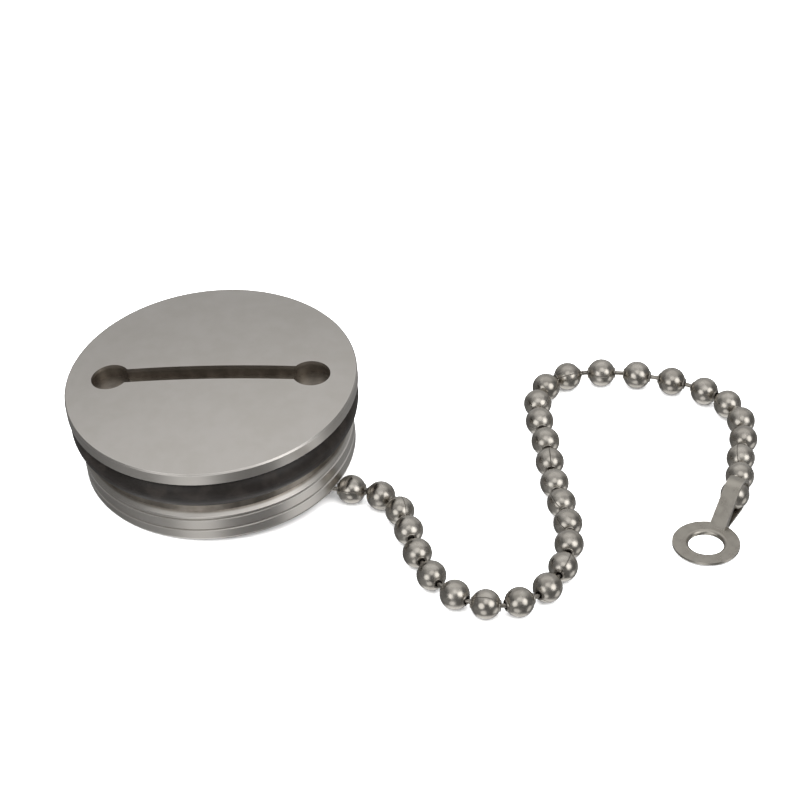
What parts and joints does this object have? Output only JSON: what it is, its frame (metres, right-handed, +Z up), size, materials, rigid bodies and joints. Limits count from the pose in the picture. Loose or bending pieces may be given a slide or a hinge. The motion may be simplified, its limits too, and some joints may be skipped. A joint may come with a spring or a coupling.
{
  "type": "deck fill cap",
  "caption": "Round threaded deck fill cap with a crowned flange, two key sockets joined by a slot, an O-ring and a retaining bead chain that ends in a ring terminal.",
  "frame": {"origin": "on the cap's own axis, in the plane of the open end of its skirt (the deck thread's axis)", "axes": "+Z is up from the surface the parts lie on, +X runs from the cap to the far end of the chain; the cap leans 6.35 degrees on its own chain"},
  "size_m": [0.116, 0.0685, 0.0204],
  "materials": {
    "cap_steel": "satin",
    "seal_rubber": "matte",
    "fitting_steel": "satin",
    "terminal_steel": "satin",
    "bead_steel": "satin"
  },
  "bodies": {
    "cap": {"cap_body": "cap_steel", "cap_skirt": "cap_steel", "swivel_boss": "cap_steel", "o_ring": "seal_rubber", "swivel_screw": "fitting_steel", "swivel_washer": "fitting_steel"},
    "hidden_chain": {"inner_terminal": "terminal_steel", "bead_01": "bead_steel", "bead_02": "bead_steel", "bead_03": "bead_steel", "bead_04": "bead_steel", "bead_05": "bead_steel", "bead_06": "bead_steel", "bead_07": "bead_steel", "bead_08": "bead_steel", "bead_09": "bead_steel", "bead_10": "bead_steel", "bead_11": "bead_steel", "bead_12": "bead_steel"},
    "bead_13": {"bead_13": "bead_steel"},
    "bead_14": {"bead_14": "bead_steel"},
    "bead_15": {"bead_15": "bead_steel"},
    "bead_16": {"bead_16": "bead_steel"},
    "bead_17": {"bead_17": "bead_steel"},
    "bead_18": {"bead_18": "bead_steel"},
    "bead_19": {"bead_19": "bead_steel"},
    "bead_20": {"bead_20": "bead_steel"},
    "bead_21": {"bead_21": "bead_steel"},
    "bead_22": {"bead_22": "bead_steel"},
    "bead_23": {"bead_23": "bead_steel"},
    "bead_24": {"bead_24": "bead_steel"},
    "bead_25": {"bead_25": "bead_steel"},
    "bead_26": {"bead_26": "bead_steel"},
    "bead_27": {"bead_27": "bead_steel"},
    "bead_28": {"bead_28": "bead_steel"},
    "bead_29": {"bead_29": "bead_steel"},
    "bead_30": {"bead_30": "bead_steel"},
    "bead_31": {"bead_31": "bead_steel"},
    "bead_32": {"bead_32": "bead_steel"},
    "bead_33": {"bead_33": "bead_steel"},
    "bead_34": {"bead_34": "bead_steel"},
    "bead_35": {"bead_35": "bead_steel"},
    "bead_36": {"bead_36": "bead_steel"},
    "bead_37": {"bead_37": "bead_steel"},
    "bead_38": {"bead_38": "bead_steel"},
    "bead_39": {"bead_39": "bead_steel"},
    "bead_40": {"bead_40": "bead_steel"},
    "bead_41": {"bead_41": "bead_steel"},
    "bead_42": {"bead_42": "bead_steel"},
    "bead_43": {"bead_43": "bead_steel"},
    "outer_terminal": {"outer_terminal": "terminal_steel"}
  },
  "joints": [
    {"name": "chain_swivel", "type": "hinge", "parent": "cap", "child": "hidden_chain", "pos_m": [-0.00047, -0.00049, 0.00606], "axis": [-0.0768, -0.0796, 0.9939], "continuous": true},
    {"name": "link_12_pivot", "type": "hinge", "parent": "hidden_chain", "child": "bead_13", "pos_m": [0.01988, -0.01124, -0.00009], "axis": [0, 0, -1], "range_deg": [-2, 22]},
    {"name": "link_13_pivot", "type": "hinge", "parent": "bead_13", "child": "bead_14", "pos_m": [0.02515, -0.01177, -0.00009], "axis": [0, 0, 1], "range_deg": [-2, 39]},
    {"name": "link_14_pivot", "type": "hinge", "parent": "bead_14", "child": "bead_15", "pos_m": [0.02919, -0.01514, -0.00009], "axis": [0, 0, 1], "range_deg": [-2, 37]},
    {"name": "link_15_pivot", "type": "hinge", "parent": "bead_15", "child": "bead_16", "pos_m": [0.03103, -0.02013, -0.00009], "axis": [0, 0, 1], "range_deg": [-2, 17]},
    {"name": "link_16_pivot", "type": "hinge", "parent": "bead_16", "child": "bead_17", "pos_m": [0.03218, -0.02612, -0.00009], "axis": [0, 0, -1], "range_deg": [-2, 12]},
    {"name": "link_17_pivot", "type": "hinge", "parent": "bead_17", "child": "bead_18", "pos_m": [0.03401, -0.03193, -0.00009], "axis": [0, 0, -1], "range_deg": [-2, 16]},
    {"name": "link_18_pivot", "type": "hinge", "parent": "bead_18", "child": "bead_19", "pos_m": [0.03696, -0.03725, -0.00009], "axis": [0, 0, -1], "range_deg": [-2, 28]},
    {"name": "link_19_pivot", "type": "hinge", "parent": "bead_19", "child": "bead_20", "pos_m": [0.04123, -0.04062, -0.00009], "axis": [0, 0, -1], "range_deg": [-2, 36]},
    {"name": "link_20_pivot", "type": "hinge", "parent": "bead_20", "child": "bead_21", "pos_m": [0.04661, -0.04133, -0.00009], "axis": [0, 0, -1], "range_deg": [-2, 39]},
    {"name": "link_21_pivot", "type": "hinge", "parent": "bead_21", "child": "bead_22", "pos_m": [0.05184, -0.03869, -0.00009], "axis": [0, 0, -1], "range_deg": [-2, 36]},
    {"name": "link_22_pivot", "type": "hinge", "parent": "bead_22", "child": "bead_23", "pos_m": [0.05518, -0.03382, -0.00009], "axis": [0, 0, -1], "range_deg": [-2, 25]},
    {"name": "link_23_pivot", "type": "hinge", "parent": "bead_23", "child": "bead_24", "pos_m": [0.05689, -0.02813, -0.00009], "axis": [0, 0, -1], "range_deg": [-2, 17]},
    {"name": "link_24_pivot", "type": "hinge", "parent": "bead_24", "child": "bead_25", "pos_m": [0.05739, -0.02266, -0.00009], "axis": [0, 0, -1], "range_deg": [-2, 16]},
    {"name": "link_25_pivot", "type": "hinge", "parent": "bead_25", "child": "bead_26", "pos_m": [0.05687, -0.01719, -0.00009], "axis": [0, 0, -1], "range_deg": [-2, 12]},
    {"name": "link_26_pivot", "type": "hinge", "parent": "bead_26", "child": "bead_27", "pos_m": [0.05585, -0.01179, -0.00009], "axis": [0, 0, 1], "range_deg": [-2, 9]},
    {"name": "link_27_pivot", "type": "hinge", "parent": "bead_27", "child": "bead_28", "pos_m": [0.05518, -0.00593, -0.00009], "axis": [0, 0, 1], "range_deg": [-2, 10]},
    {"name": "link_28_pivot", "type": "hinge", "parent": "bead_28", "child": "bead_29", "pos_m": [0.05488, -0.00004, -0.00009], "axis": [0, 0, -1], "range_deg": [-2, 9]},
    {"name": "link_29_pivot", "type": "hinge", "parent": "bead_29", "child": "bead_30", "pos_m": [0.05416, 0.00582, -0.00009], "axis": [0, 0, -1], "range_deg": [-2, 6]},
    {"name": "link_30_pivot", "type": "hinge", "parent": "bead_30", "child": "bead_31", "pos_m": [0.05361, 0.01113, -0.00009], "axis": [0, 0, 1], "range_deg": [-2, 18]},
    {"name": "link_31_pivot", "type": "hinge", "parent": "bead_31", "child": "bead_32", "pos_m": [0.05428, 0.01641, -0.00009], "axis": [0, 0, 1], "range_deg": [-2, 33]},
    {"name": "link_32_pivot", "type": "hinge", "parent": "bead_32", "child": "bead_33", "pos_m": [0.05739, 0.02067, -0.00009], "axis": [0, 0, 1], "range_deg": [-2, 38]},
    {"name": "link_33_pivot", "type": "hinge", "parent": "bead_33", "child": "bead_34", "pos_m": [0.06319, 0.02274, -0.00009], "axis": [0, 0, 1], "range_deg": [-2, 28]},
    {"name": "link_34_pivot", "type": "hinge", "parent": "bead_34", "child": "bead_35", "pos_m": [0.06942, 0.02245, -0.00009], "axis": [0, 0, 1], "range_deg": [-2, 17]},
    {"name": "link_35_pivot", "type": "hinge", "parent": "bead_35", "child": "bead_36", "pos_m": [0.07548, 0.02093, -0.00009], "axis": [0, 0, 1], "range_deg": [-2, 15]},
    {"name": "link_36_pivot", "type": "hinge", "parent": "bead_36", "child": "bead_37", "pos_m": [0.08117, 0.01837, -0.00009], "axis": [0, 0, 1], "range_deg": [-2, 20]},
    {"name": "link_37_pivot", "type": "hinge", "parent": "bead_37", "child": "bead_38", "pos_m": [0.0854, 0.01498, -0.00009], "axis": [0, 0, 1], "range_deg": [-2, 26]},
    {"name": "link_38_pivot", "type": "hinge", "parent": "bead_38", "child": "bead_39", "pos_m": [0.08807, 0.01029, -0.00009], "axis": [0, 0, 1], "range_deg": [-2, 30]},
    {"name": "link_39_pivot", "type": "hinge", "parent": "bead_39", "child": "bead_40", "pos_m": [0.08855, 0.00491, -0.00008], "axis": [0, 0, 1], "range_deg": [-2, 22]},
    {"name": "link_40_pivot", "type": "hinge", "parent": "bead_40", "child": "bead_41", "pos_m": [0.08758, -0.00044, -0.00012], "axis": [0, 0, 1], "range_deg": [-2, 7]},
    {"name": "link_41_pivot", "type": "hinge", "parent": "bead_41", "child": "bead_42", "pos_m": [0.08656, -0.00578, -0.00009], "axis": [0, 0, -1], "range_deg": [-2, 13]},
    {"name": "link_42_pivot", "type": "hinge", "parent": "bead_42", "child": "bead_43", "pos_m": [0.08605, -0.01155, 0.00042], "axis": [0, 0, 1], "range_deg": [-2, 31]},
    {"name": "outer_terminal_pivot", "type": "hinge", "parent": "bead_43", "child": "outer_terminal", "pos_m": [0.08499, -0.01344, 0.00041], "axis": [0, 0, 1], "range_deg": [-2, 6]}
  ]
}
